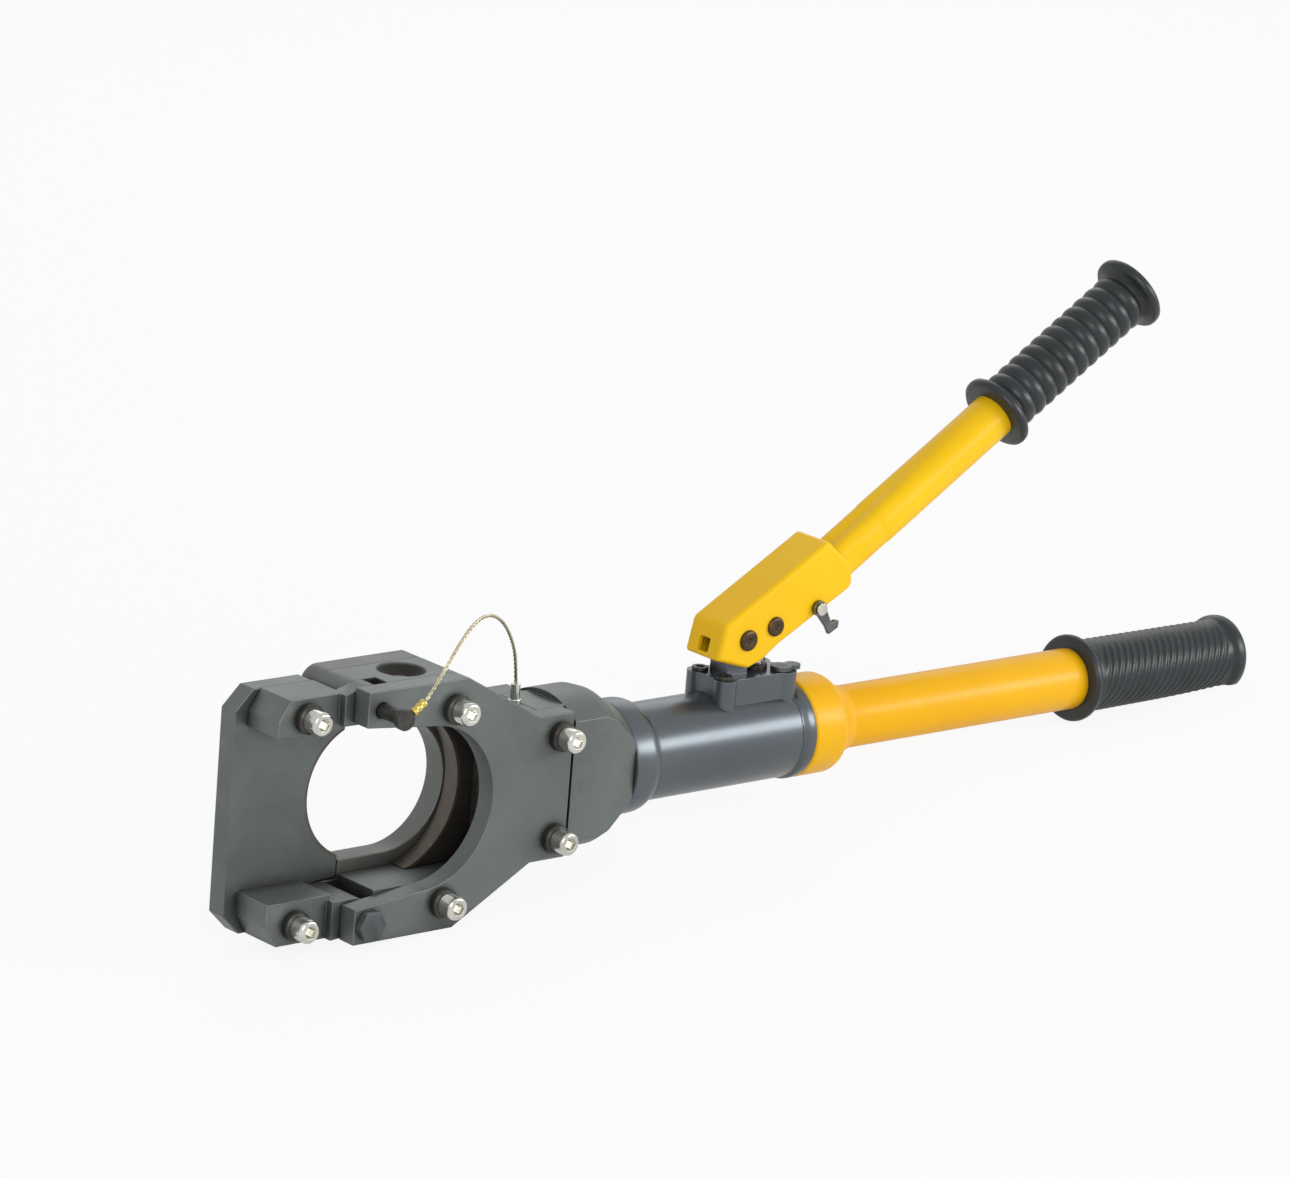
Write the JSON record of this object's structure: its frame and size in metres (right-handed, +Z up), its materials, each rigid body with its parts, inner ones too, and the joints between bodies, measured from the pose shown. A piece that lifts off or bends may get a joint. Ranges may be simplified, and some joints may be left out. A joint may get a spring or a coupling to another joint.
{
  "type": "hydraulic bolt cutters",
  "caption": "Hand-pumped hydraulic bolt and cable cutters with a hinged guillotine head, cylinder, yellow pump lever, tube handle and ribbed rubber grips.",
  "frame": {"origin": "centre of the cutting throat, on the cylinder's axis", "axes": "+X along the cylinder from the head to the fixed grip, +Y from the front cheek to the rear cheek, +Z up, towards the raised lever"},
  "size_m": [0.7095, 0.0826, 0.3112],
  "materials": {
    "head_steel": "satin gunmetal over machined tool steel, fine vertical grain",
    "cylinder_steel": "smooth satin gunmetal",
    "blade_steel": "ground tool steel with a light oil film",
    "bright_zinc": "bright plated, turned",
    "chromed_rod": "hard chrome, polished",
    "dark_steel": "black oxide",
    "spring_steel": "oiled spring wire",
    "wire_steel": "twisted strands",
    "brass": "dull crimped brass",
    "yellow_paint": "gloss yellow paint with soft orange peel",
    "grip_rubber": "moulded, dark grey, slightly glossy ribs",
    "seal_rubber": "black nitrile"
  },
  "bodies": {
    "head_and_barrel": {"front_cheek": "head_steel", "rear_cheek": "head_steel", "upper_rail": "head_steel", "lower_rail": "head_steel", "rail_lock_screw": "dark_steel", "frame_bolts": "bright_zinc", "neck_bolts": "bright_zinc", "frame_bosses": "dark_steel", "neck_bosses": "dark_steel", "hinge_bolt": "dark_steel", "lanyard_anchor": "bright_zinc", "lanyard_wire": "wire_steel", "return_spring": "spring_steel", "base_flange": "head_steel", "rod_gland": "brass", "collar_nut": "cylinder_steel", "barrel": "cylinder_steel", "valve_body": "dark_steel", "check_valves": "bright_zinc", "pump_block": "cylinder_steel", "pump_block_screws": "dark_steel", "plunger_gland": "dark_steel", "release_spindle": "dark_steel", "coupling": "yellow_paint", "reservoir_tube": "yellow_paint", "oil_bladder": "seal_rubber", "tube_end_plug": "dark_steel", "fixed_grip": "grip_rubber"},
    "yoke": {"yoke_plate": "head_steel", "upper_guide_block": "head_steel", "lower_guide_block": "head_steel", "guide_bolts": "bright_zinc", "guide_bosses": "dark_steel"},
    "latch": {"latch_pin": "dark_steel", "lanyard_crimp": "brass"},
    "ram": {"moving_blade": "blade_steel", "blade_holder": "blade_steel", "blade_screws": "dark_steel", "ram_rod": "chromed_rod", "piston": "blade_steel", "piston_seal": "seal_rubber"},
    "lever": {"lever_fork": "yellow_paint", "lever_tube": "yellow_paint", "lever_grip": "grip_rubber", "lever_pivot_pin": "dark_steel", "plunger_pin": "dark_steel", "pin_circlips": "spring_steel", "hook_pin": "bright_zinc"},
    "plunger": {"pump_plunger": "chromed_rod", "plunger_eye": "dark_steel"},
    "release": {"release_lever": "bright_zinc"},
    "hook": {"handle_hook": "bright_zinc"}
  },
  "joints": [
    {"name": "yoke_hinge", "type": "hinge", "parent": "head_and_barrel", "child": "yoke", "pos_m": [-0.029, 0, -0.0576], "axis": [0, -1, 0], "range_deg": [0, 90]},
    {"name": "latch_slide", "type": "slide", "parent": "head_and_barrel", "child": "latch", "axis": [0, 1, 0], "range_m": [0, 0.016]},
    {"name": "ram_slide", "type": "slide", "parent": "head_and_barrel", "child": "ram", "axis": [-1, 0, 0], "range_m": [0, 0.092], "stiffness_N_per_m": 500, "springref_m": -0.1, "deforming": ["return_spring"]},
    {"name": "lever_pivot", "type": "hinge", "parent": "head_and_barrel", "child": "lever", "pos_m": [0.2335, 0, 0.0583], "axis": [0, -1, 0], "range_deg": [-27.5, 15]},
    {"name": "plunger_slide", "type": "slide", "parent": "head_and_barrel", "child": "plunger", "axis": [0, 0, 1], "range_m": [-0.0094, 0.0053]},
    {"name": "release_turn", "type": "hinge", "parent": "head_and_barrel", "child": "release", "pos_m": [0.263, -0.01, 0.0385], "axis": [0, 0, 1], "range_deg": [-75, 0]},
    {"name": "hook_swing", "type": "hinge", "parent": "lever", "child": "hook", "pos_m": [0.28232, -0.01555, 0.07085], "axis": [0, -1, 0], "range_deg": [-38, 25]}
  ],
  "couplings": [
    {"joint": "plunger_slide", "follows": "lever_pivot", "m_per_rad": 0.019}
  ]
}
